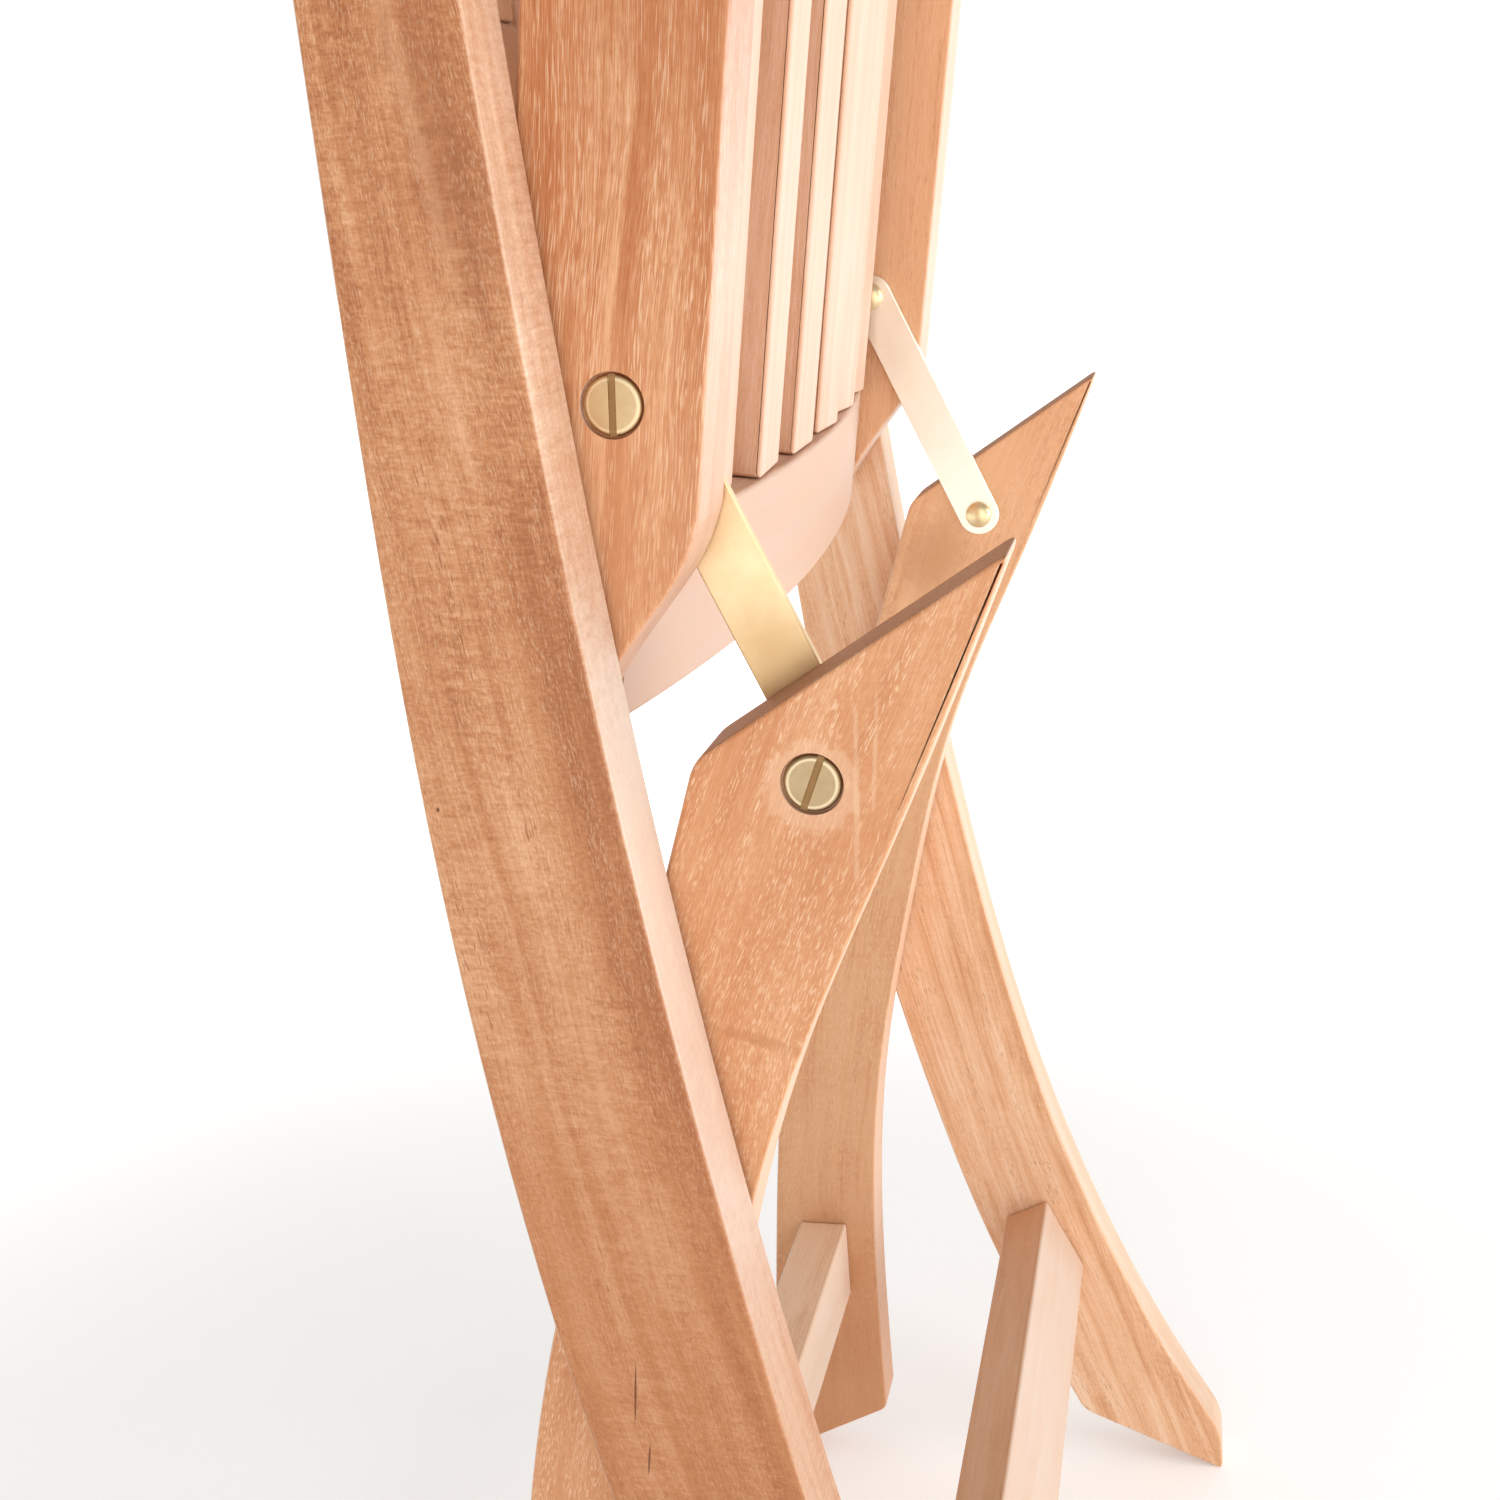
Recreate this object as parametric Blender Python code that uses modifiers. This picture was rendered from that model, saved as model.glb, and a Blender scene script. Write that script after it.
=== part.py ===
"""Folding chair of oiled hardwood: curved crossed legs, a slatted seat that folds up, and brass links.

Lengths are in millimetres, and MM turns them into metres.
World: +Z up, the front of the chair towards -Y, the sitter's right-hand side towards -X.
The side view is (forward, up) from the leg pivot, with the chair part-folded.
The seat has its own side view, (along, under) from the seat pivot: along its rails towards the
front end, and square to them towards the underside.
"""
import math

import bmesh
import bpy
import numpy as np
from mathutils import Matrix, Vector

MM = 0.001
SIDES = {"right": -1, "left": 1}

# Layers across the chair, outwards from the middle plane
HALF_WIDTH = 232.0
LEG_THICK = 25.0
LAYER_GAP = 1.4
RAIL_THICK = 25.6
TOUCH_GAP = 0.3
LINK_THICK = 2.8
LONG_IN = HALF_WIDTH - LEG_THICK
RAIL_OUT = LONG_IN - LAYER_GAP
RAIL_IN = RAIL_OUT - RAIL_THICK
LINK_OUT = RAIL_IN - TOUCH_GAP
LINK_IN = LINK_OUT - LINK_THICK

# Where the leg pivot stands, and the other pivots in the side view
LEG_PIVOT_BACK = 39.0
LEG_PIVOT_HEIGHT = 380.92
LEG_PIVOT = (0.0, 0.0)
SEAT_PIVOT = (-20.3, 155.0)
LINK_TOP = (0.4, 228.2)
LINK_BOTTOM = (47.1, 132.2)

# The seat: lean of its rails from upright, its depth either side of its pivot, and its length
SEAT_LEAN = math.radians(6.5)
SEAT_TOP = -15.0
SEAT_UNDER = 36.0
SEAT_LENGTH = 365.0
SEAT_DISH = 12.5
SLAT_COUNT = 7
SLAT_WIDTH = 32.5
SLAT_THICK = 20.0
SLAT_PITCH = 51.5
REAR_RAIL_SPAN = (-14.0, 35.0)
FRONT_RAIL_SPAN = (341.0, 364.0)
REAR_RAIL_THICK = 22.0
FRONT_RAIL_THICK = 34.0
SEAT_INSET = 4.3

# Stretchers between the legs: centre in the side view, section and lean
STRETCHER_WIDE = 41.0
STRETCHER_THICK = 24.0
FRONT_STRETCHER = ((76.0, -253.0), math.radians(28.0))
REAR_STRETCHER = ((-34.5, -257.0), math.radians(2.0))

# The back, along the straight top of the long legs
BACK_LEAN = math.radians(-3.7)
BACK_FOOT = (-40.3, 322.0)
BACK_LOWER_AT = -18.0
BACK_TOP_AT = 283.0
BACK_LOWER_TALL = 42.0
BACK_TOP_TALL = 66.0
BACK_THICK = 18.0
BACK_SET_BACK = 10.0
BACK_BOW = 12.0
BACK_SLATS = 5
BACK_SLAT_WIDTH = 46.0
BACK_SLAT_THICK = 9.0
BACK_SLAT_PITCH = 66.0

# Fasteners
LINK_RADIUS = 9.0
SHANK_RADIUS = 3.0
SHANK_HOLE = 3.3
HEAD_RADIUS = 7.7
HEAD_THICK = 1.6
COUNTERBORE_RADIUS = 8.3
COUNTERBORE_DEPTH = 2.2
SLOT_WIDTH = 1.9
SLOT_DEPTH = 0.8
NUT_RADIUS = 5.6
NUT_THICK = 3.6
PIN_RADIUS = 4.0
PIN_HOLE = 4.3
PIN_DEPTH = 17.0
WASHER_RADIUS = 11.0
WASHER_THICK = 0.8
HEAD_SINK = 0.3
HEAD_RIM = 0.5
NUT_RIM = 0.9
UPPER_SLOT_TURN = 0.03
LOWER_SLOT_TURN = math.radians(20)
EDGE_ROUND = 1.4
BACK_ROUND = 2.5
LINK_ROUND = 0.4

# How far a cutter runs past a face, and how round the turned pieces are
CUT_REACH = 2.0
HEAD_SIDES = 32
ROUND_SIDES = 24
HOLE_SIDES = 20
BOW_POINTS = 13

WOOD = ((0.56, 0.25, 0.11), 0.5, 0.0)
PALE_WOOD = ((0.66, 0.36, 0.2), 0.5, 0.0)
BRASS = ((0.83, 0.66, 0.38), 0.35, 1.0)


def clear_scene():
    for item in list(bpy.data.objects):
        bpy.data.objects.remove(item, do_unlink=True)


def new_collection(name):
    made = bpy.data.collections.new(name)
    bpy.context.scene.collection.children.link(made)
    return made


def material(name, look):
    colour, roughness, metallic = look
    made = bpy.data.materials.new(name)
    made.use_nodes = True
    shader = made.node_tree.nodes["Principled BSDF"]
    shader.inputs["Base Color"].default_value = (*colour, 1.0)
    shader.inputs["Roughness"].default_value = roughness
    shader.inputs["Metallic"].default_value = metallic
    return made


def world(x, point):
    """World place, in metres, of a side-view point at distance x from the middle plane."""
    forward, up = point
    return Vector((x, LEG_PIVOT_BACK - forward, LEG_PIVOT_HEIGHT + up)) * MM


def turned_by(angle):
    """Side-view directions of a member that leans forward by angle: along it, and square to it."""
    return (math.sin(angle), math.cos(angle)), (math.cos(angle), -math.sin(angle))


def on_member(start, angle, along, across):
    """Side-view point at distances along and square to a leaning member."""
    a, b = turned_by(angle)
    return start[0] + along * a[0] + across * b[0], start[1] + along * a[1] + across * b[1]


def on_seat(along, under):
    return on_member(SEAT_PIVOT, SEAT_LEAN, along, under)


def spline(points, count):
    """Natural cubic spline through the points, as count points spaced by chord length."""
    pts = np.array(points, float)
    steps = np.linalg.norm(np.diff(pts, axis=0), axis=1)
    at = np.concatenate([[0.0], np.cumsum(steps)])
    size = len(at)
    matrix = np.zeros((size, size))
    right = np.zeros((size, 2))
    matrix[0, 0] = matrix[-1, -1] = 1.0
    for i in range(1, size - 1):
        matrix[i, i - 1:i + 2] = steps[i - 1], 2 * (steps[i - 1] + steps[i]), steps[i]
        right[i] = 6 * ((pts[i + 1] - pts[i]) / steps[i] - (pts[i] - pts[i - 1]) / steps[i - 1])
    bend = np.linalg.solve(matrix, right)
    out = []
    for s in np.linspace(0.0, at[-1], count):
        i = min(int(np.searchsorted(at, s, side="right")) - 1, size - 2)
        a = (at[i + 1] - s) / steps[i]
        b = 1.0 - a
        curve = (a ** 3 - a) * bend[i] + (b ** 3 - b) * bend[i + 1]
        out.append(tuple(a * pts[i] + b * pts[i + 1] + curve * steps[i] ** 2 / 6))
    return out


def cut_back(run, distance):
    """The polyline without its first stretch of the given length."""
    left = distance
    for i in range(len(run) - 1):
        a, b = np.array(run[i]), np.array(run[i + 1])
        length = np.linalg.norm(b - a)
        if length > left:
            return [tuple(a + (b - a) * left / length)] + run[i + 1:]
        left -= length
    return run[-1:]


def outline(runs, rounds, steps=6):
    """Closed outline from runs that meet at corners; rounds gives each run's starting corner's size."""
    trimmed = []
    for i, run in enumerate(runs):
        run = cut_back(list(run), rounds[i])
        run = cut_back(run[::-1], rounds[(i + 1) % len(runs)])[::-1]
        trimmed.append(run)
    points = []
    for i, run in enumerate(trimmed):
        before, corner, after = np.array(trimmed[i - 1][-1]), np.array(runs[i][0]), np.array(run[0])
        if rounds[i] > 0:
            for k in range(1, steps):
                t = k / steps
                points.append(tuple((1 - t) ** 2 * before + 2 * t * (1 - t) * corner + t * t * after))
        points.extend(run)
    return points


def settle(source, name, pivot, look):
    """Turn a built object into one closed mesh object whose origin is the pivot."""
    bpy.context.view_layer.update()
    graph = bpy.context.evaluated_depsgraph_get()
    mesh = bpy.data.meshes.new_from_object(source.evaluated_get(graph))
    mesh.transform(Matrix.Translation(-pivot) @ source.matrix_world)
    bpy.data.objects.remove(source, do_unlink=True)
    work = bmesh.new()
    work.from_mesh(mesh)
    bmesh.ops.remove_doubles(work, verts=work.verts, dist=1e-6)
    bmesh.ops.dissolve_limit(work, angle_limit=math.radians(0.2), verts=work.verts, edges=work.edges)
    bmesh.ops.recalc_face_normals(work, faces=work.faces)
    work.to_mesh(mesh)
    work.free()
    mesh.name = name
    made = bpy.data.objects.new(name, mesh)
    made.location = pivot
    mesh.materials.clear()
    mesh.materials.append(FINISHES[look])
    PARTS.objects.link(made)
    return made


def flat_shape(points, half_thick, matrix):
    """A filled 2D outline, in millimetres, thickened both ways, placed by matrix."""
    data = bpy.data.curves.new("outline", "CURVE")
    data.dimensions = "2D"
    data.fill_mode = "BOTH"
    data.extrude = half_thick * MM
    run = data.splines.new("POLY")
    run.points.add(len(points) - 1)
    for slot, (a, b) in zip(run.points, points):
        slot.co = (a * MM, b * MM, 0.0, 1.0)
    run.use_cyclic_u = True
    made = bpy.data.objects.new("outline", data)
    made.matrix_world = matrix
    bpy.context.scene.collection.objects.link(made)
    return made


def side_matrix(x):
    """Local x to world +Y, local y to world +Z, thickness across the chair, centred at x."""
    turn = Matrix(((0, 0, 1), (1, 0, 0), (0, 1, 0))).to_4x4()
    return Matrix.Translation((x * MM, 0, 0)) @ turn


def round_edges(item, size=EDGE_ROUND, segments=1):
    bevel = item.modifiers.new("rounded edges", "BEVEL")
    bevel.width = size * MM
    bevel.segments = segments
    bevel.limit_method = "ANGLE"
    bevel.angle_limit = math.radians(70)
    bevel.use_clamp_overlap = False


def cut(item, cutters):
    for tool in cutters:
        hole = item.modifiers.new("cut", "BOOLEAN")
        hole.operation = "DIFFERENCE"
        hole.object = tool


def side_board(name, points, x_low, x_high, pivot, look):
    """A board cut to a side-view outline, between two distances from the middle plane."""
    flat = [(LEG_PIVOT_BACK - a, LEG_PIVOT_HEIGHT + b) for a, b in points]
    source = flat_shape(flat, abs(x_high - x_low) / 2, side_matrix((x_low + x_high) / 2))
    made = settle(source, name, world(0, pivot), look)
    round_edges(made)
    return made


def block(name, size, matrix, pivot, look, edge=EDGE_ROUND):
    """A box of the given size in millimetres, placed by matrix."""
    bpy.ops.mesh.primitive_cube_add(size=1.0)
    source = bpy.context.active_object
    source.matrix_world = matrix @ Matrix.Diagonal((*(Vector(size) * MM), 1.0))
    made = settle(source, name, world(0, pivot), look)
    round_edges(made, edge)
    return made


def member_matrix(x, point, angle, roll=0.0):
    """Local x across the chair, local y towards the member's underside or front, local z along it."""
    a, b = turned_by(angle)
    along = Vector((0, -a[0], a[1]))
    across = Vector((0, -b[0], b[1]))
    side = across.cross(along)
    turn = Matrix((side, across, along)).transposed().to_4x4()
    return Matrix.Translation(world(x, point)) @ turn @ Matrix.Rotation(roll, 4, "Z")


def cylinder(name, radius, x_low, x_high, point, sides=HOLE_SIDES):
    """A cutter along the chair's width."""
    bpy.ops.mesh.primitive_cylinder_add(radius=radius * MM, depth=abs(x_high - x_low) * MM, vertices=sides)
    made = bpy.context.active_object
    made.name = name
    made.matrix_world = (Matrix.Translation(world((x_low + x_high) / 2, point))
                         @ Matrix.Rotation(math.pi / 2, 4, "Y"))
    return as_cutter(made)


def as_cutter(made):
    for home in list(made.users_collection):
        home.objects.unlink(made)
    CUTTERS.objects.link(made)
    made.hide_render = True
    made.display_type = "WIRE"
    return made


def turned(name, profile, point, pivot, look, steps=ROUND_SIDES):
    """A round piece about the chair's width axis from (x, radius) points, both ends on the axis."""
    mesh = bpy.data.meshes.new(name)
    rows = [(x * MM, radius * MM, 0.0) for x, radius in profile]
    mesh.from_pydata(rows, [(i, i + 1) for i in range(len(rows) - 1)], [])
    source = bpy.data.objects.new("profile", mesh)
    bpy.context.scene.collection.objects.link(source)
    source.location = world(0, point)
    spin = source.modifiers.new("turn", "SCREW")
    spin.axis = "X"
    spin.steps = spin.render_steps = steps
    spin.use_merge_vertices = True
    spin.merge_threshold = 1e-6
    made = settle(source, name, world(0, pivot), look)
    made.data.shade_smooth()
    made.data.set_sharp_from_angle(angle=math.radians(35))
    return made


def long_leg_outline():
    rear = spline([(-80, 648), (-60.3, 322), (-48.3, 133), (-20.3, -37), (19, -177), (50.7, -262),
                   (97.3, -354.2)], 24)
    front = spline([(168.5, -360), (146.5, -325), (103, -240), (70.5, -156), (34.5, -23), (2.5, 140),
                    (-20.3, 322), (-43, 648)], 24)
    sole = [rear[-1], (169.7, -382)]
    toe = [sole[-1], front[0]]
    top = [front[-1], rear[0]]
    return outline([rear, sole, toe, front, top], [13, 5, 4, 9, 15])


def short_leg_outline():
    rear = spline([(15.9, 137.3), (-14, 35), (-38, -50), (-53, -140), (-60.5, -240), (-65.3, -382)], 18)
    front = spline([(-4.5, -346.2), (-8, -268), (-4, -150), (12, -57), (36.7, 42), (66, 113),
                    (97.7, 192.8)], 18)
    sole = [rear[-1], front[0]]
    top = [front[-1], rear[0]]
    return outline([rear, sole, front, top], [5, 4, 4, 5])


def seat_rail_outline():
    under = [on_seat(SEAT_LENGTH, SEAT_UNDER), on_seat(50, SEAT_UNDER)]
    nose = [on_seat(a, b) for a, b in spline([(50, SEAT_UNDER), (38, 33), (22, 24.5), (4, 14), (-10, 6.5),
                                              (-19, -4), (-17, SEAT_TOP)], 14)]
    top = [nose[-1], on_seat(SEAT_LENGTH, SEAT_TOP)]
    front = [top[-1], under[0]]
    return outline([under, nose, top, front], [9, 0, 5, 6])


def make_long_legs():
    points = long_leg_outline()
    for side, sign in SIDES.items():
        leg = side_board("long_leg_" + side, points, sign * LONG_IN, sign * HALF_WIDTH, LEG_PIVOT, "leg")
        inner = sign * (LONG_IN - CUT_REACH)
        outer = sign * (LONG_IN + PIN_DEPTH)
        cut(leg, [cylinder("cut_leg_pivot_" + side, PIN_HOLE, inner, outer, LEG_PIVOT),
                  cylinder("cut_seat_pivot_" + side, PIN_HOLE, inner, outer, SEAT_PIVOT)])


def make_short_legs():
    points = short_leg_outline()
    for side, sign in SIDES.items():
        leg = side_board("short_leg_" + side, points, sign * RAIL_IN, sign * RAIL_OUT, LEG_PIVOT, "leg")
        cut(leg, [pin_hole("short_leg_" + side, sign, LEG_PIVOT)])
        cut(leg, screw_holes("short_leg_" + side, sign, LINK_BOTTOM))


def pin_hole(name, sign, point):
    """A blind hole in a board's outer face, for the pin it turns on."""
    deep = sign * (RAIL_OUT - PIN_DEPTH)
    return cylinder("cut_pivot_" + name, PIN_HOLE, deep, sign * (RAIL_OUT + CUT_REACH), point)


def screw_holes(name, sign, point):
    """A through hole for the shank and a counterbore for the head."""
    inner = sign * (RAIL_IN - CUT_REACH)
    outer = sign * (RAIL_OUT + CUT_REACH)
    floor = sign * (RAIL_OUT - COUNTERBORE_DEPTH)
    return [cylinder("cut_shank_" + name, SHANK_HOLE, inner, outer, point),
            cylinder("cut_head_" + name, COUNTERBORE_RADIUS, floor, outer, point, HEAD_SIDES)]


def make_seat_rails():
    points = seat_rail_outline()
    for side, sign in SIDES.items():
        rail = side_board("seat_rail_" + side, points, sign * RAIL_IN, sign * RAIL_OUT, SEAT_PIVOT, "seat")
        cut(rail, [pin_hole("seat_rail_" + side, sign, SEAT_PIVOT)])
        cut(rail, screw_holes("seat_rail_" + side, sign, LINK_TOP))


def dished(name, low, high, upper, thick):
    """A seat cross rail between two distances along the seat, bowed towards the underside."""
    reach = RAIL_IN - TOUCH_GAP
    bow = [(x, SEAT_DISH * (1 - (x / reach) ** 2)) for x in np.linspace(-reach, reach, BOW_POINTS)]
    points = [(x, upper + y) for x, y in bow] + [(x, upper + thick + y) for x, y in bow[::-1]]
    middle = on_seat((low + high) / 2, 0)
    source = flat_shape(points, (high - low) / 2, member_matrix(0, middle, SEAT_LEAN))
    made = settle(source, name, world(0, SEAT_PIVOT), "seat")
    round_edges(made)


def make_seat_slats():
    low = REAR_RAIL_SPAN[1] + TOUCH_GAP
    high = FRONT_RAIL_SPAN[0] - TOUCH_GAP
    for i in range(SLAT_COUNT):
        x = (i - (SLAT_COUNT - 1) / 2) * SLAT_PITCH
        dip = SEAT_DISH * (1 - (x / RAIL_IN) ** 2)
        slope = math.atan(2 * SEAT_DISH * x / RAIL_IN ** 2)
        middle = on_seat((low + high) / 2, SEAT_TOP + SEAT_INSET + dip + SLAT_THICK / 2)
        block("seat_slat_%d" % (i + 1), (SLAT_WIDTH, SLAT_THICK, high - low),
              member_matrix(x, middle, SEAT_LEAN, -slope), SEAT_PIVOT, "seat")


def make_stretchers():
    for name, (middle, lean), reach in (("front_stretcher", FRONT_STRETCHER, LONG_IN),
                                        ("rear_stretcher", REAR_STRETCHER, RAIL_IN)):
        size = (2 * (reach - TOUCH_GAP), STRETCHER_THICK, STRETCHER_WIDE)
        block(name, size, member_matrix(0, middle, -lean), LEG_PIVOT, "leg")


def on_back(along, behind):
    return on_member(BACK_FOOT, BACK_LEAN, along, -behind)


def back_bow(x):
    return BACK_BOW * (1 - (x / LONG_IN) ** 2)


def make_back():
    reach = LONG_IN - TOUCH_GAP
    for name, at, tall in (("back_lower_rail", BACK_LOWER_AT, BACK_LOWER_TALL),
                           ("back_top_rail", BACK_TOP_AT, BACK_TOP_TALL)):
        bow = [(x, -back_bow(x)) for x in np.linspace(-reach, reach, BOW_POINTS)]
        half = BACK_THICK / 2
        points = [(x, y + half) for x, y in bow] + [(x, y - half) for x, y in bow[::-1]]
        source = flat_shape(points, tall / 2, member_matrix(0, on_back(at, BACK_SET_BACK), BACK_LEAN))
        round_edges(settle(source, name, world(0, LEG_PIVOT), "leg"), BACK_ROUND)
    low = BACK_LOWER_AT + BACK_LOWER_TALL / 2 + TOUCH_GAP
    high = BACK_TOP_AT - BACK_TOP_TALL / 2 - TOUCH_GAP
    for i in range(BACK_SLATS):
        x = (i - (BACK_SLATS - 1) / 2) * BACK_SLAT_PITCH
        slope = math.atan(2 * BACK_BOW * x / LONG_IN ** 2)
        middle = on_back((low + high) / 2, BACK_SET_BACK + back_bow(x))
        block("back_slat_%d" % (i + 1), (BACK_SLAT_WIDTH, BACK_SLAT_THICK, high - low),
              member_matrix(x, middle, BACK_LEAN, slope), LEG_PIVOT, "seat")


def capsule(a, b, radius, steps=10):
    """Outline with round ends about two side-view points."""
    heading = math.atan2(b[1] - a[1], b[0] - a[0])
    points = []
    for centre, start in ((b, heading - math.pi / 2), (a, heading + math.pi / 2)):
        for k in range(steps + 1):
            angle = start + math.pi * k / steps
            points.append((centre[0] + radius * math.cos(angle), centre[1] + radius * math.sin(angle)))
    return points


def make_links():
    points = capsule(LINK_BOTTOM, LINK_TOP, LINK_RADIUS)
    for side, sign in SIDES.items():
        flat = [(LEG_PIVOT_BACK - a, LEG_PIVOT_HEIGHT + b) for a, b in points]
        source = flat_shape(flat, LINK_THICK / 2, side_matrix(sign * (LINK_OUT + LINK_IN) / 2))
        link = settle(source, "link_" + side, world(0, LINK_BOTTOM), "brass")
        round_edges(link, LINK_ROUND)
        low, high = sign * (LINK_IN - CUT_REACH), sign * (LINK_OUT + CUT_REACH)
        cut(link, [cylinder("cut_link_bottom_" + side, SHANK_HOLE, low, high, LINK_BOTTOM),
                   cylinder("cut_link_top_" + side, SHANK_HOLE, low, high, LINK_TOP)])


def slotted_screw(name, sign, point, pivot, inner_end, slot_angle):
    face = sign * (RAIL_OUT - HEAD_SINK)
    under = face - sign * HEAD_THICK
    end = sign * inner_end
    profile = [(face, 0), (face, HEAD_RADIUS - HEAD_RIM), (face - sign * HEAD_RIM, HEAD_RADIUS),
               (under, HEAD_RADIUS), (under, SHANK_RADIUS), (end, SHANK_RADIUS), (end, 0)]
    screw = turned(name, profile, point, pivot, "brass", HEAD_SIDES)
    bpy.ops.mesh.primitive_cube_add(size=1.0)
    tool = bpy.context.active_object
    tool.name = "cut_slot_" + name
    size = Vector((2 * SLOT_DEPTH, SLOT_WIDTH, 4 * HEAD_RADIUS)) * MM
    tool.matrix_world = (Matrix.Translation(world(face, point)) @ Matrix.Rotation(slot_angle, 4, "X")
                         @ Matrix.Diagonal((*size, 1.0)))
    cut(screw, [as_cutter(tool)])


def dome(name, sign, point, pivot):
    base = sign * (LINK_IN - TOUCH_GAP)
    steps = 5
    profile = [(base, 0), (base, NUT_RADIUS)]
    for k in range(steps + 1):
        angle = math.pi / 2 * k / steps
        rise = NUT_RIM + (NUT_THICK - NUT_RIM) * math.sin(angle)
        profile.append((base - sign * rise, NUT_RADIUS * math.cos(angle)))
    turned(name, profile, point, pivot, "brass")


def make_link_fasteners():
    shaft_end = RAIL_IN + TOUCH_GAP
    for side, sign in SIDES.items():
        slotted_screw("seat_link_screw_" + side, sign, LINK_TOP, SEAT_PIVOT, shaft_end, UPPER_SLOT_TURN)
        slotted_screw("leg_link_screw_" + side, sign, LINK_BOTTOM, LEG_PIVOT, LINK_IN, LOWER_SLOT_TURN)
        dome("upper_link_nut_" + side, sign, LINK_TOP, LINK_BOTTOM)
        dome("lower_link_nut_" + side, sign, LINK_BOTTOM, LEG_PIVOT)


def make_pivots():
    inner = RAIL_OUT - PIN_DEPTH + TOUCH_GAP
    outer = LONG_IN + PIN_DEPTH - TOUCH_GAP
    washer_low = (RAIL_OUT + LONG_IN - WASHER_THICK) / 2
    washer_high = washer_low + WASHER_THICK
    for joint, point in (("leg_pivot", LEG_PIVOT), ("seat_pivot", SEAT_PIVOT)):
        for side, sign in SIDES.items():
            ends = [sign * inner, sign * outer]
            pin = [(ends[0], 0), (ends[0], PIN_RADIUS), (ends[1], PIN_RADIUS), (ends[1], 0)]
            turned(joint + "_pin_" + side, pin, point, LEG_PIVOT, "brass")
            washer(joint + "_washer_" + side, sign * washer_low, sign * washer_high, point)


def washer(name, x_low, x_high, point):
    thick = abs(x_high - x_low)
    bpy.ops.mesh.primitive_cylinder_add(radius=WASHER_RADIUS * MM, depth=thick * MM, vertices=ROUND_SIDES)
    source = bpy.context.active_object
    source.matrix_world = (Matrix.Translation(world((x_low + x_high) / 2, point))
                           @ Matrix.Rotation(math.pi / 2, 4, "Y"))
    made = settle(source, name, world(0, LEG_PIVOT), "brass")
    cut(made, [cylinder("cut_" + name, PIN_HOLE, x_low - CUT_REACH, x_high + CUT_REACH, point)])


clear_scene()
PARTS = new_collection("folding_chair")
CUTTERS = new_collection("cutters")
FINISHES = {"leg": material("leg_wood", WOOD), "seat": material("seat_wood", PALE_WOOD),
         "brass": material("brass", BRASS)}
make_long_legs()
make_short_legs()
make_seat_rails()
dished("seat_rear_rail", *REAR_RAIL_SPAN, SEAT_TOP + SEAT_INSET, REAR_RAIL_THICK)
dished("seat_front_rail", *FRONT_RAIL_SPAN, SEAT_TOP + SEAT_INSET, FRONT_RAIL_THICK)
make_seat_slats()
make_stretchers()
make_back()
make_links()
make_link_fasteners()
make_pivots()
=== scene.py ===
"""Folding chair of oiled hardwood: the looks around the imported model.

Lengths are in millimetres, and MM turns them into metres.
The side view is (forward, up) from the leg pivot; the seat's is (along, under) from its own pivot.
Each wooden piece has a frame of its own: local z along the grain, y across the board, x through it.
"""
import math

import bmesh
import bpy
import numpy as np
from mathutils import Euler, Matrix, Vector

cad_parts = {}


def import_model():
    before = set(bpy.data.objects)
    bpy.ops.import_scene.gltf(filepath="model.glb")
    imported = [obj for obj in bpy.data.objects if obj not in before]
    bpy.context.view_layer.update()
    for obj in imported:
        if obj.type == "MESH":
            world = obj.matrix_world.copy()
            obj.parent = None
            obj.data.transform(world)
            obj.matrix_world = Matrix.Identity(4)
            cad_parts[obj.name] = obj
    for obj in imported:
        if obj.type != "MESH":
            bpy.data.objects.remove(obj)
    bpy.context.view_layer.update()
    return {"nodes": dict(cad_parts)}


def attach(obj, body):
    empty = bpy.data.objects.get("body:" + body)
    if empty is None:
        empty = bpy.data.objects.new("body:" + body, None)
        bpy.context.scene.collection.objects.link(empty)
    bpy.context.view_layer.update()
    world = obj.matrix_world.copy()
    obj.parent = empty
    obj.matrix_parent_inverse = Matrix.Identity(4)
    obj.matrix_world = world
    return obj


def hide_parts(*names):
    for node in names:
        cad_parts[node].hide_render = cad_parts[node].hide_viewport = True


MM = 0.001
SIDES = {"right": -1, "left": 1}

# Layers across the chair
HALF_WIDTH = 232.0
LONG_IN = 207.0
RAIL_OUT = 205.6
RAIL_IN = 180.0
LINK_OUT = 179.7
LINK_IN = 176.9
TOUCH_GAP = 0.3

# Rounding of the edges
LONG_EDGE = 1.5
SHORT_EDGE = 1.3
RAIL_EDGE = 1.5
SLAT_EDGE = 1.8
BOARD_EDGE = 1.6
BOARD_CORNER = 1.8
BACK_RAIL_EDGE = 3.0
LINK_EDGE = 0.45
SHARP_ANGLE = math.radians(34)

# Pivots in the side view
LEG_PIVOT_BACK = 39.0
LEG_PIVOT_HEIGHT = 380.92
LEG_PIVOT = (0.0, 0.0)
SEAT_PIVOT = (-20.3, 155.0)
LINK_TOP = (0.4, 228.2)
LINK_BOTTOM = (47.1, 132.2)

# The seat
SEAT_LEAN = math.radians(6.5)
SEAT_TOP = -15.0
SEAT_UNDER = 36.0
SEAT_LENGTH = 365.0
SEAT_DISH = 12.5
SEAT_INSET = 4.3
SLAT_COUNT = 7
SLAT_WIDTH = 32.5
SLAT_THICK = 20.0
SLAT_PITCH = 51.5
REAR_RAIL_SPAN = (-14.0, 35.0)
FRONT_RAIL_SPAN = (341.0, 364.0)
REAR_RAIL_THICK = 22.0
FRONT_RAIL_THICK = 34.0

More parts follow.
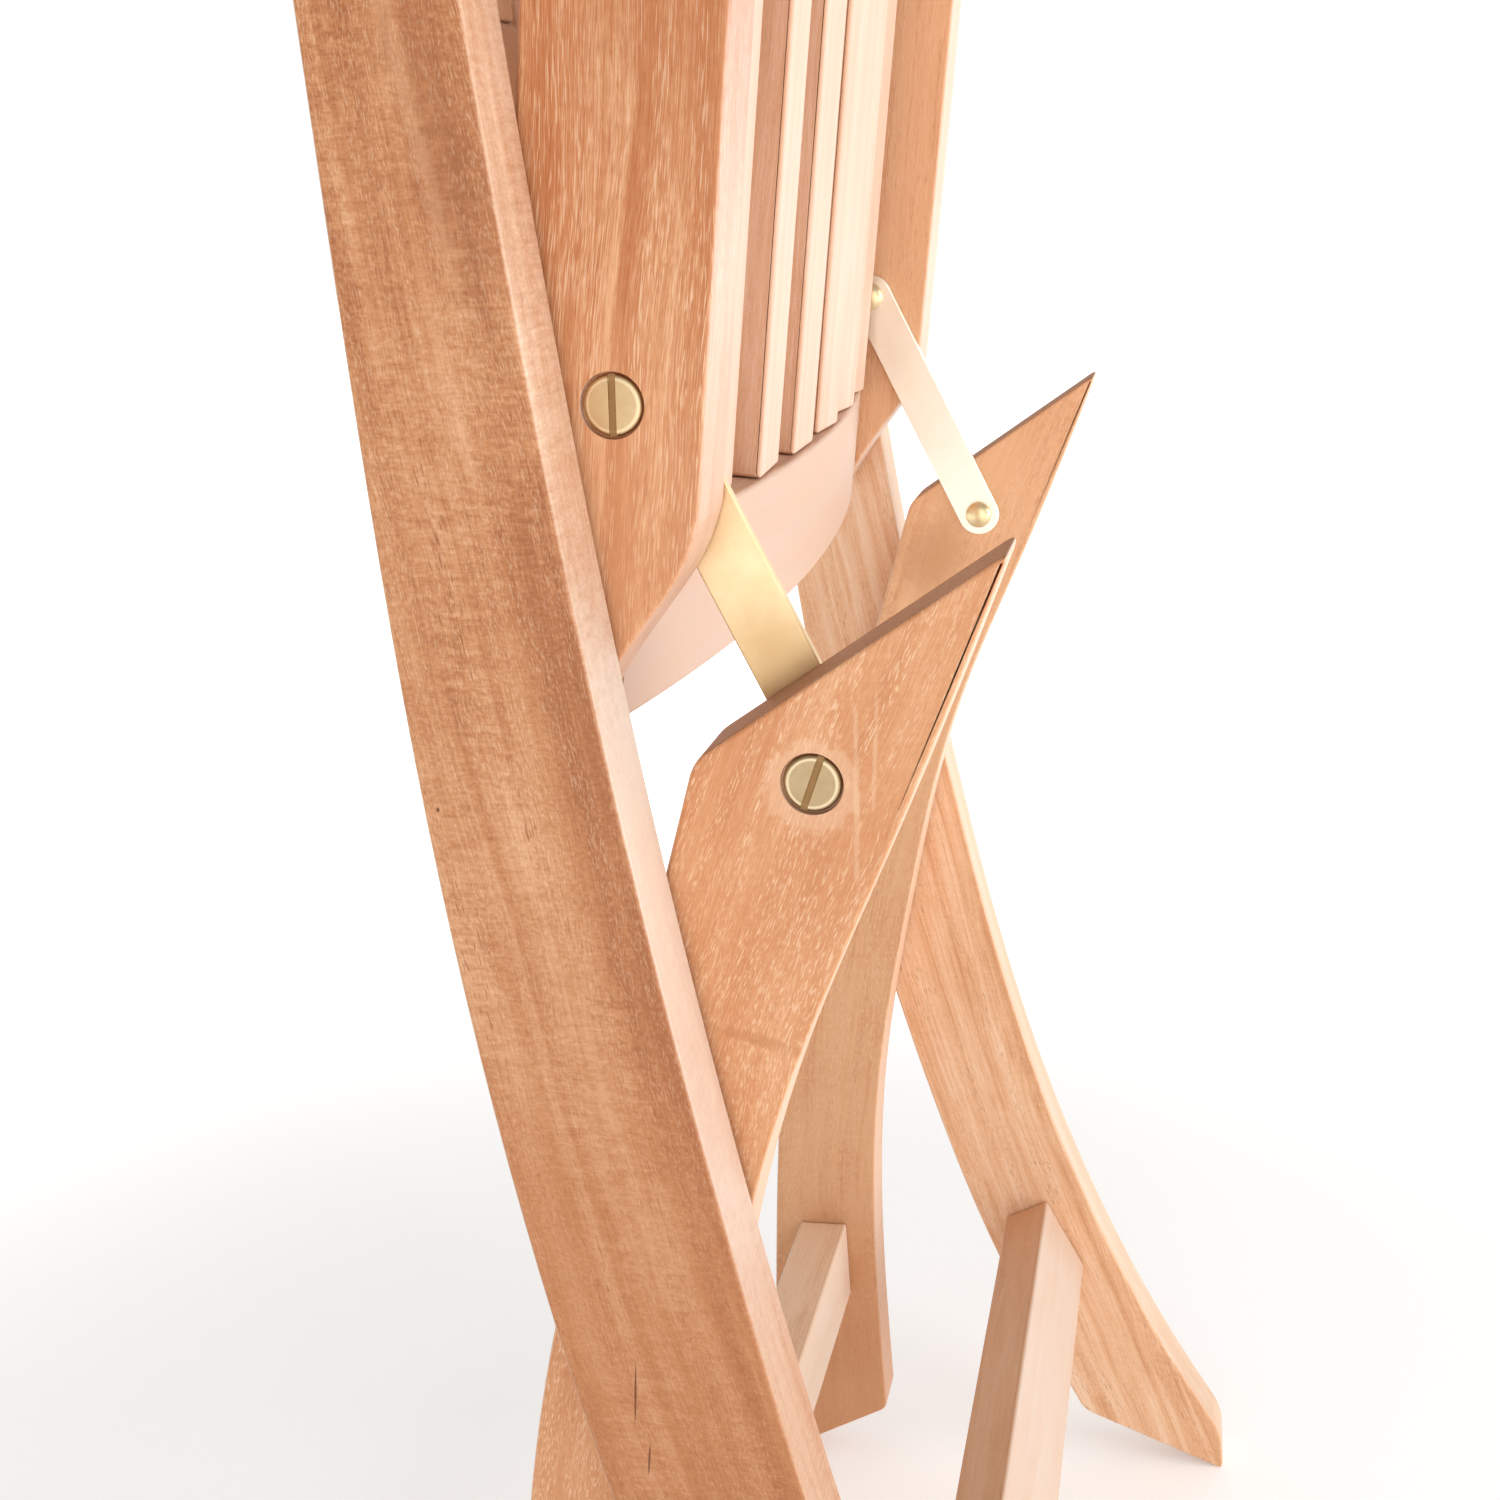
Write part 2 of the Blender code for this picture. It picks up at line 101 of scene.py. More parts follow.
# Stretchers and the back
STRETCHER_WIDE = 41.0
STRETCHER_THICK = 24.0
FRONT_STRETCHER = ((76.0, -253.0), math.radians(28.0))
REAR_STRETCHER = ((-34.5, -257.0), math.radians(2.0))
BACK_LEAN = math.radians(-3.7)
BACK_FOOT = (-40.3, 322.0)
BACK_LOWER_AT = -18.0
BACK_TOP_AT = 283.0
BACK_LOWER_TALL = 42.0
BACK_TOP_TALL = 66.0
BACK_THICK = 18.0
BACK_SHAVE = 0.2
BACK_SET_BACK = 10.0
BACK_BOW = 12.0
BACK_SLATS = 5
BACK_SLAT_WIDTH = 46.0
BACK_SLAT_THICK = 9.0
BACK_SLAT_PITCH = 66.0

# Fasteners
LINK_RADIUS = 9.0
SHANK_RADIUS = 3.0
HEAD_RADIUS = 7.7
HEAD_THICK = 1.6
HEAD_SINK = 0.3
HEAD_RIM = 1.2
COUNTERBORE_RADIUS = 8.3
COUNTERBORE_DEPTH = 2.2
CUT_REACH = 2.0
SLOT_WIDTH = 1.9
SLOT_DEPTH = 0.8
NUT_RADIUS = 5.6
NUT_THICK = 3.6
NUT_RIM = 0.9
NUT_STEPS = 9
UPPER_SLOT_TURN = 0.03
LOWER_SLOT_TURN = math.radians(20)

# Camera, as millimetres, degrees and millimetres of focal length
CAMERA_PLACE = (-642.6, -99.7, 661.1)
CAMERA_TURN = (72.785, 2.408, -76.946)
CAMERA_LENS = 44.4

# Stage
FLOOR_RADIUS = 12.0
SOFTBOX_SIZE = 1.8

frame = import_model()


def world(x, point):
    """Metres in the shared frame from x and a side-view point."""
    forward, up = point
    return Vector((x, LEG_PIVOT_BACK - forward, LEG_PIVOT_HEIGHT + up)) * MM


def turned_by(angle):
    """A leaning member's directions along and across, in the side view."""
    return (math.sin(angle), math.cos(angle)), (math.cos(angle), -math.sin(angle))


def on_member(start, angle, along, across):
    a, b = turned_by(angle)
    return start[0] + along * a[0] + across * b[0], start[1] + along * a[1] + across * b[1]


def on_seat(along, under):
    return on_member(SEAT_PIVOT, SEAT_LEAN, along, under)


def spline(points, count):
    """Natural cubic spline through the points, as count points spaced by chord length."""
    pts = np.array(points, float)
    steps = np.linalg.norm(np.diff(pts, axis=0), axis=1)
    at = np.concatenate([[0.0], np.cumsum(steps)])
    size = len(at)
    matrix = np.zeros((size, size))
    right = np.zeros((size, 2))
    matrix[0, 0] = matrix[-1, -1] = 1.0
    for i in range(1, size - 1):
        matrix[i, i - 1:i + 2] = steps[i - 1], 2 * (steps[i - 1] + steps[i]), steps[i]
        right[i] = 6 * ((pts[i + 1] - pts[i]) / steps[i] - (pts[i] - pts[i - 1]) / steps[i - 1])
    bend = np.linalg.solve(matrix, right)
    out = []
    for s in np.linspace(0.0, at[-1], count):
        i = min(int(np.searchsorted(at, s, side="right")) - 1, size - 2)
        a = (at[i + 1] - s) / steps[i]
        b = 1.0 - a
        curve = (a ** 3 - a) * bend[i] + (b ** 3 - b) * bend[i + 1]
        out.append(tuple(a * pts[i] + b * pts[i + 1] + curve * steps[i] ** 2 / 6))
    return out


def cut_back(run, distance):
    """The run without its first stretch of the given length."""
    left = distance
    for i in range(len(run) - 1):
        a, b = np.array(run[i]), np.array(run[i + 1])
        length = np.linalg.norm(b - a)
        if length > left:
            return [tuple(a + (b - a) * left / length)] + run[i + 1:]
        left -= length
    return run[-1:]


def outline(runs, rounds, steps=10):
    """Closed outline of the runs, with each run's first corner rounded from rounds on either side."""
    trimmed = []
    for i, run in enumerate(runs):
        run = cut_back(list(run), rounds[i])
        run = cut_back(run[::-1], rounds[(i + 1) % len(runs)])[::-1]
        trimmed.append(run)
    points = []
    for i, run in enumerate(trimmed):
        before, corner, after = np.array(trimmed[i - 1][-1]), np.array(runs[i][0]), np.array(run[0])
        if rounds[i] > 0:
            for k in range(1, steps):
                t = k / steps
                points.append(tuple((1 - t) ** 2 * before + 2 * t * (1 - t) * corner + t * t * after))
        points.extend(run[1:] if points and math.dist(points[-1], run[0]) < 1e-6 else run)
    return points


def long_leg_outline():
    rear = spline([(-80, 648), (-60.3, 322), (-48.3, 133), (-20.3, -37), (19, -177), (50.7, -262),
                   (97.3, -354.2)], 64)
    front = spline([(168.5, -360), (146.5, -325), (103, -240), (70.5, -156), (34.5, -23), (2.5, 140),
                    (-20.3, 322), (-43, 648)], 64)
    sole = [rear[-1], (169.7, -381.98)]
    toe = [sole[-1], front[0]]
    top = [front[-1], rear[0]]
    return outline([rear, sole, toe, front, top], [13, 5, 4, 9, 15])


def short_leg_outline():
    rear = spline([(15.9, 137.3), (-14, 35), (-38, -50), (-53, -140), (-60.5, -240), (-65.3, -382)], 48)
    front = spline([(-4.5, -346.2), (-8, -268), (-4, -150), (12, -57), (36.7, 42), (66, 113),
                    (97.7, 192.8)], 48)
    sole = [rear[-1], front[0]]
    top = [front[-1], rear[0]]
    return outline([rear, sole, front, top], [5, 4, 4, 5])


def seat_rail_outline():
    under = [on_seat(SEAT_LENGTH, SEAT_UNDER), on_seat(50, SEAT_UNDER)]
    nose = [on_seat(a, b) for a, b in spline([(50, SEAT_UNDER), (38, 33), (22, 24.5), (4, 14), (-10, 6.5),
                                              (-19, -4), (-17, SEAT_TOP)], 36)]
    top = [nose[-1], on_seat(SEAT_LENGTH, SEAT_TOP)]
    front = [top[-1], under[0]]
    return outline([under, nose, top, front], [9, 0, 5, 6])


# ---------------------------------------------------------------- frames of the pieces

def along_frame(x, point, angle, roll=0.0):
    """Local z along a leaning member, y square to it in the side view, x across the chair."""
    a, b = turned_by(angle)
    along = Vector((0, -a[0], a[1]))
    across = Vector((0, -b[0], b[1]))
    turn = Matrix((across.cross(along), across, along)).transposed().to_4x4()
    return Matrix.Translation(world(x, point)) @ turn @ Matrix.Rotation(roll, 4, "Z")


def cross_frame(point, angle):
    """Local z across the chair, y square to a leaning member, x along it."""
    a, b = turned_by(angle)
    along = Vector((0, -a[0], a[1]))
    across = Vector((0, -b[0], b[1]))
    turn = Matrix((along, across, Vector((1, 0, 0)))).transposed().to_4x4()
    return Matrix.Translation(world(0, point)) @ turn


# ---------------------------------------------------------------- pieces

def keep(name, mesh, matrix, body, nodes, looks):
    """Put a finished mesh in the scene, on its body, in place of its CAD nodes."""
    made = bpy.data.objects.new(name, mesh)
    bpy.context.scene.collection.objects.link(made)
    made.matrix_world = matrix
    mesh.materials.clear()
    mesh.materials.append(looks)
    mesh.shade_smooth()
    mesh.set_sharp_from_angle(angle=SHARP_ANGLE)
    made.modifiers.new("even shading", "WEIGHTED_NORMAL").keep_sharp = True
    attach(made, body)
    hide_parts(*nodes)
    return made


def inset_rates(points):
    """Each outline point's inward direction, scaled so that equal insets keep straight runs straight,
    and the largest inset that the outline's own rounding leaves room for."""
    pts = np.array(points, float)
    before, after = pts - np.roll(pts, 1, axis=0), np.roll(pts, -1, axis=0) - pts
    size_before, size_after = np.linalg.norm(before, axis=1), np.linalg.norm(after, axis=1)
    before, after = before / size_before[:, None], after / size_after[:, None]
    area = np.sum(pts[:, 0] * np.roll(pts[:, 1], -1) - np.roll(pts[:, 0], -1) * pts[:, 1])
    turn = math.copysign(1.0, area)
    normals = np.stack([-(before + after)[:, 1], (before + after)[:, 0]], axis=1) * turn
    normals /= np.linalg.norm(normals, axis=1)[:, None]
    bend = np.arctan2(before[:, 0] * after[:, 1] - before[:, 1] * after[:, 0], np.sum(before * after, axis=1)) * turn
    rates = normals / np.cos(bend / 2)[:, None]
    radius = (size_before + size_after) / 2 / np.maximum(bend, 1e-6)
    return pts, rates, radius * 0.8


def prism(points, thick, edge, segments=3):
    """Mesh of a (y, z) outline, thickened along local x, with the rims of both faces rounded."""
    pts, rates, room = inset_rates(points)
    most = np.minimum(edge, room)
    for _ in range(3):
        most = np.minimum(most, (np.roll(most, 1) + np.roll(most, -1)) / 2 + 0.15)
    rings = []
    for side in (-1, 1):
        for k in range(segments + 1):
            t = math.pi / 2 * (k if side < 0 else segments - k) / segments
            x = side * (thick / 2 - edge * (1 - math.cos(t)))
            rings.append((x, pts + rates * (most * (1 - math.sin(t)))[:, None]))
    work = bmesh.new()
    rows = [[work.verts.new((x * MM, y * MM, z * MM)) for y, z in ring] for x, ring in rings]
    for a, b in zip(rows, rows[1:]):
        for k in range(len(a)):
            work.faces.new((a[k - 1], a[k], b[k], b[k - 1]))
    work.faces.new(rows[0])
    work.faces.new(rows[-1])
    bmesh.ops.recalc_face_normals(work, faces=work.faces)
    mesh = bpy.data.meshes.new("prism")
    work.to_mesh(mesh)
    work.free()
    return mesh


def cut(mesh, matrix, tool):
    """The mesh with the tool's shape taken out of it."""
    item = bpy.data.objects.new("cutting", mesh)
    bpy.context.scene.collection.objects.link(item)
    item.matrix_world = matrix
    hole = item.modifiers.new("cut", "BOOLEAN")
    hole.operation = "DIFFERENCE"
    hole.object = tool
    bpy.context.view_layer.update()
    graph = bpy.context.evaluated_depsgraph_get()
    made = bpy.data.meshes.new_from_object(item.evaluated_get(graph))
    for used in (item, tool):
        bpy.data.objects.remove(used, do_unlink=True)
    return made


def peg(radius, x_low, x_high, point, sides=64):
    bpy.ops.mesh.primitive_cylinder_add(radius=radius * MM, depth=abs(x_high - x_low) * MM, vertices=sides)
    made = bpy.context.active_object
    made.matrix_world = (Matrix.Translation(world((x_low + x_high) / 2, point))
                         @ Matrix.Rotation(math.pi / 2, 4, "Y"))
    return made


def into(origin, angle, points):
    """Side-view points as (across, along) in a member's own frame."""
    a, b = turned_by(angle)
    rows = []
    for point in points:
        u, v = point[0] - origin[0], point[1] - origin[1]
        rows.append((u * b[0] + v * b[1], u * a[0] + v * a[1]))
    return rows


def side_boards(kind, points, layers, origin, angle, edge, screw, body, looks):
    """A board on each side, between two layers, with a counterbore at screw if there is one."""
    for side, sign in SIDES.items():
        middle = sign * (layers[0] + layers[1]) / 2
        matrix = along_frame(middle, origin, angle)
        mesh = prism(into(origin, angle, points), layers[1] - layers[0], edge)
        if screw:
            bottom, top = sign * (RAIL_OUT - COUNTERBORE_DEPTH), sign * (RAIL_OUT + CUT_REACH)
            mesh = cut(mesh, matrix, peg(COUNTERBORE_RADIUS, bottom, top, screw))
        name = kind + "_" + side
        keep("timber_" + name, mesh, matrix, body, [name], looks[side])


def rectangle(wide, tall):
    a, b = wide / 2, tall / 2
    corners = [(-a, -b), (a, -b), (a, b), (-a, b)]
    return outline([[corners[i], corners[(i + 1) % 4]] for i in range(4)], [BOARD_CORNER] * 4, 5)


def make_timber():
    side_boards("long_leg", long_leg_outline(), (LONG_IN, HALF_WIDTH), LEG_PIVOT, 0.0, LONG_EDGE, None,
                "back_frame", {"right": LONG_NEAR, "left": LONG_FAR})
    side_boards("short_leg", short_leg_outline(), (RAIL_IN, RAIL_OUT), LEG_PIVOT, 0.0, SHORT_EDGE, LINK_BOTTOM,
                "rear_legs", {"right": SHORT_NEAR, "left": SHORT_FAR})
    side_boards("seat_rail", seat_rail_outline(), (RAIL_IN, RAIL_OUT), SEAT_PIVOT, SEAT_LEAN, RAIL_EDGE, LINK_TOP,
                "seat", {"right": RAIL_NEAR, "left": RAIL_FAR})
    for name, (middle, lean), reach, body, seed, looks in (
            ("front_stretcher", FRONT_STRETCHER, LONG_IN, "back_frame", 31, FRONT_STRETCHER_LOOKS),
            ("rear_stretcher", REAR_STRETCHER, RAIL_IN, "rear_legs", 37, REAR_STRETCHER_LIT_LOOKS)):
        mesh = prism(rectangle(STRETCHER_THICK, 2 * (reach - TOUCH_GAP)), STRETCHER_WIDE, BOARD_EDGE)
        keep("timber_" + name, mesh, cross_frame(middle, -lean), body, [name], timber(name, seed, looks))
    low = REAR_RAIL_SPAN[1] + TOUCH_GAP
    high = FRONT_RAIL_SPAN[0] - TOUCH_GAP
    for i in range(SLAT_COUNT):
        x = (i - (SLAT_COUNT - 1) / 2) * SLAT_PITCH
        dip = SEAT_DISH * (1 - (x / RAIL_IN) ** 2)
        slope = math.atan(2 * SEAT_DISH * x / RAIL_IN ** 2)
        middle = on_seat((low + high) / 2, SEAT_TOP + SEAT_INSET + dip + SLAT_THICK / 2)
        name = "seat_slat_%d" % (i + 1)
        mesh = prism(rectangle(SLAT_THICK, high - low), SLAT_WIDTH, SLAT_EDGE)
        keep("timber_" + name, mesh, along_frame(x, middle, SEAT_LEAN, -slope), "seat", [name],
             timber(name, 50 + 3 * i, SLAT_LOOKS))
    for name, span, thick in (("seat_rear_rail", REAR_RAIL_SPAN, REAR_RAIL_THICK),
                              ("seat_front_rail", FRONT_RAIL_SPAN, FRONT_RAIL_THICK)):
        upper = SEAT_TOP + SEAT_INSET
        points = bowed(RAIL_IN - TOUCH_GAP, SEAT_DISH, upper, upper + thick)
        middle = on_seat(sum(span) / 2, 0)
        keep("timber_" + name, prism(points, span[1] - span[0], RAIL_EDGE), cross_frame(middle, SEAT_LEAN), "seat",
             [name], timber(name, 80 + thick, CROSS_RAIL_LOOKS))
    make_back()


def bowed(reach, bow, low, high, count=33):
    """Outline, as (y, z), of a strip that is bowed towards +y at its middle."""
    run = [(bow * (1 - (z / reach) ** 2), z) for z in np.linspace(-reach, reach, count)]
    return [(y + low, z) for y, z in run] + [(y + high, z) for y, z in run[::-1]]


def on_back(along, behind):
    return on_member(BACK_FOOT, BACK_LEAN, along, -behind)


def back_bow(x):
    return BACK_BOW * (1 - (x / LONG_IN) ** 2)


def make_back():
    reach = LONG_IN - TOUCH_GAP
    for name, at, tall, looks in (("back_lower_rail", BACK_LOWER_AT, BACK_LOWER_TALL, BACK_LOWER_SHADED_LOOKS),
                                  ("back_top_rail", BACK_TOP_AT, BACK_TOP_TALL, BACK_LOOKS)):
        half = BACK_THICK / 2 - BACK_SHAVE
        run = [(-back_bow(z), z) for z in np.linspace(-reach, reach, 33)]
        points = [(y - half, z) for y, z in run] + [(y + half, z) for y, z in run[::-1]]
        matrix = cross_frame(on_back(at, BACK_SET_BACK), BACK_LEAN)
        keep("timber_" + name, prism(points, tall, BACK_RAIL_EDGE), matrix, "back_frame", [name],
             timber(name, 100 + tall, looks))
    low = BACK_LOWER_AT + BACK_LOWER_TALL / 2 + TOUCH_GAP
    high = BACK_TOP_AT - BACK_TOP_TALL / 2 - TOUCH_GAP
    for i in range(BACK_SLATS):
        x = (i - (BACK_SLATS - 1) / 2) * BACK_SLAT_PITCH
        slope = math.atan(2 * BACK_BOW * x / LONG_IN ** 2)
        middle = on_back((low + high) / 2, BACK_SET_BACK + back_bow(x))
        name = "back_slat_%d" % (i + 1)
        keep("timber_" + name, prism(rectangle(BACK_SLAT_THICK, high - low), BACK_SLAT_WIDTH, BOARD_EDGE),
             along_frame(x, middle, BACK_LEAN, slope), "back_frame", [name],
             timber(name, 120 + 3 * i, BACK_LOOKS))


def capsule(length, radius, steps=24):
    """(y, z) outline with round ends about (0, 0) and (0, length)."""
    points = []
    for centre, start in ((0.0, math.pi), (length, 0.0)):
        for k in range(steps + 1):
            angle = start + math.pi * k / steps
            points.append((radius * math.cos(angle), centre + radius * math.sin(angle)))
    return points


def make_links():
    forward, up = LINK_TOP[0] - LINK_BOTTOM[0], LINK_TOP[1] - LINK_BOTTOM[1]
    angle = math.atan2(forward, up)
    length = math.hypot(forward, up)
    for side, sign in SIDES.items():
        matrix = along_frame(sign * (LINK_IN + LINK_OUT) / 2, LINK_BOTTOM, angle)
        mesh = prism(capsule(length, LINK_RADIUS), LINK_OUT - LINK_IN, LINK_EDGE)
        name = "link_" + side
        keep("brass_" + name, mesh, matrix, "links", [name],
             BRASS_LINK if side == "right" else BRASS_LINK_FAR_LIT)


def spun(profile, sides=64):
    """Mesh of a (x, radius) profile turned about local x, whose first and last radius are 0."""
    work = bmesh.new()
    rows = []
    for x, radius in profile:
        if radius == 0:
            rows.append([work.verts.new((x * MM, 0, 0))])
            continue
        turn = [2 * math.pi * k / sides for k in range(sides)]
        rows.append([work.verts.new((x * MM, radius * math.cos(t) * MM, radius * math.sin(t) * MM)) for t in turn])
    for a, b in zip(rows, rows[1:]):
        for k in range(sides):
            ring = [a[k % len(a)], a[(k + 1) % len(a)], b[(k + 1) % len(b)], b[k % len(b)]]
            ring = list(dict.fromkeys(ring))
            if len(ring) > 2:
                work.faces.new(ring)
    bmesh.ops.recalc_face_normals(work, faces=work.faces)
    mesh = bpy.data.meshes.new("spun")
    work.to_mesh(mesh)
    work.free()
    return mesh


def rounded_rim(face, side, radius, rim, steps=5):
    """Profile points from the flat of a round face over its rounded rim; side is +1 or -1."""
    rows = []
    for k in range(steps + 1):
        t = math.pi / 2 * k / steps
        rows.append((face - side * rim * (1 - math.cos(t)), radius - rim * (1 - math.sin(t))))
    return rows


def screw(name, sign, point, body, inner_end, slot_angle):
    """A slotted connector screw whose flat head lies in a counterbore on the outer side."""
    face = sign * (RAIL_OUT - HEAD_SINK)
    under = face - sign * HEAD_THICK
    profile = [(face, 0)] + rounded_rim(face, sign, HEAD_RADIUS, HEAD_RIM)
    profile += [(under, HEAD_RADIUS), (under, SHANK_RADIUS), (sign * inner_end, SHANK_RADIUS), (sign * inner_end, 0)]
    matrix = Matrix.Translation(world(0, point))
    bpy.ops.mesh.primitive_cube_add(size=1.0)
    tool = bpy.context.active_object
    size = Vector((2 * SLOT_DEPTH, SLOT_WIDTH, 4 * HEAD_RADIUS)) * MM
    tool.matrix_world = (Matrix.Translation(world(face, point)) @ Matrix.Rotation(slot_angle, 4, "X")
                         @ Matrix.Diagonal((*size, 1.0)))
    mesh = cut(spun(profile), matrix, tool)
    keep("brass_" + name, mesh, matrix, body, [name], BRASS_SCREW[body])


def nut(name, sign, point, body):
    """A domed round nut on the inner face of a link."""
    base = sign * (LINK_IN - TOUCH_GAP)
    profile = [(base, 0), (base, NUT_RADIUS)]
    for k in range(NUT_STEPS + 1):
        t = math.pi / 2 * k / NUT_STEPS
        rise = NUT_RIM + (NUT_THICK - NUT_RIM) * math.sin(t)
        profile.append((base - sign * rise, NUT_RADIUS * math.cos(t) if k < NUT_STEPS else 0))
    keep("brass_" + name, spun(profile), Matrix.Translation(world(0, point)), body, [name], BRASS_NUT)


def make_fasteners():
    for side, sign in SIDES.items():
        screw("seat_link_screw_" + side, sign, LINK_TOP, "seat", RAIL_IN + TOUCH_GAP, UPPER_SLOT_TURN)
        screw("leg_link_screw_" + side, sign, LINK_BOTTOM, "rear_legs", LINK_IN, LOWER_SLOT_TURN)
        nut("upper_link_nut_" + side, sign, LINK_TOP, "links")
        nut("lower_link_nut_" + side, sign, LINK_BOTTOM, "rear_legs")


# ---------------------------------------------------------------- materials

class Tree:
    """Short calls for building a shader node tree."""

    def __init__(self, tree):
        self.tree = tree

    def node(self, kind, inputs=None, **settings):
        made = self.tree.nodes.new(kind)
        for key, value in settings.items():
            setattr(made, key, value)
        for key, value in (inputs or {}).items():
            self.put(made.inputs[key], value)
        return made

    def put(self, socket, value):
        if isinstance(value, bpy.types.NodeSocket):
            self.tree.links.new(value, socket)
        else:
            socket.default_value = value

    def math(self, operation, *values):
        return self.node("ShaderNodeMath", dict(enumerate(values)), operation=operation).outputs[0]

    def total(self, first, *others):
        for other in others:
            first = self.math("ADD", first, other)
        return first

    def millimetres(self, coordinates):
        """A piece's own coordinates in millimetres."""
        metres = coordinates.outputs["Object"]
        return self.node("ShaderNodeVectorMath", {0: metres, 1: (1000.0, 1000.0, 1000.0)},
                         operation="MULTIPLY").outputs[0]

    def times(self, a, b):
        return self.math("MULTIPLY", a, b)

    def noise(self, vector, scale, detail=2.0, rough=0.5, shift=0.0, distortion=0.0):
        """Noise from 0 to 1 in a space stretched by scale."""
        place = (shift, shift * 0.7 + 3.0, shift * 1.3 - 5.0)
        mapped = self.node("ShaderNodeMapping", {"Vector": vector, "Location": place, "Scale": scale})
        made = self.node("ShaderNodeTexNoise", {"Vector": mapped.outputs[0], "Scale": 1.0, "Detail": detail,
                                                "Roughness": rough, "Distortion": distortion})
        return made.outputs[0]

    def centred(self, value, amount):
        """(value - 0.5) * amount"""
        return self.times(self.math("SUBTRACT", value, 0.5), amount)

    def band(self, value, low, high):
        """0 below low, 1 above high, smooth between."""
        inputs = {"Value": value, "From Min": low, "From Max": high}
        return self.node("ShaderNodeMapRange", inputs, interpolation_type="SMOOTHSTEP").outputs[0]

    def ramp(self, value, low, high):
        """0 below low, 1 above high, straight between."""
        inputs = {"Value": value, "From Min": low, "From Max": high}
        return self.node("ShaderNodeMapRange", inputs, interpolation_type="LINEAR").outputs[0]

    def mix(self, factor, a, b):
        made = self.node("ShaderNodeMix", data_type="RGBA")
        self.put(made.inputs[0], factor)
        self.put(made.inputs[6], a)
        self.put(made.inputs[7], b)
        return made.outputs[2]


GROUP_INPUTS = (("Base", "Color", (0.6, 0.3, 0.15, 1)), ("Deep", "Color", (0.4, 0.18, 0.08, 1)),
                ("Pale", "Color", (0.75, 0.45, 0.28, 1)), ("Edge", "Color", (0.7, 0.42, 0.26, 1)),
                ("Seed", "Float", 0.0), ("Bend", "Float", 0.0), ("Lean", "Float", 0.0),
                ("Lanes", "Float", 0.5), ("Fibre", "Float", 0.5), ("Dashes", "Float", 0.5),
                ("Dash length", "Float", 0.2), ("Pores", "Float", 0.5), ("Figure", "Float", 0.0),
                ("Mottle", "Float", 0.4), ("Front", "Float", 0.0), ("End", "Float", 0.5))
GLINT = (1.0, 0.84, 0.62, 1.0)
PORE = (0.16, 0.06, 0.02, 1.0)
END_DARK = (0.24, 0.115, 0.06, 1.0)
END_PALE = (0.36, 0.205, 0.12, 1.0)
WORN_BRASS = (0.9, 0.76, 0.52, 1.0)
SLOT_BRASS = (0.33, 0.18, 0.07, 1.0)
PALE_STREAK = (0.86, 0.62, 0.43)
CRACK = (0.12, 0.03, 0.012)


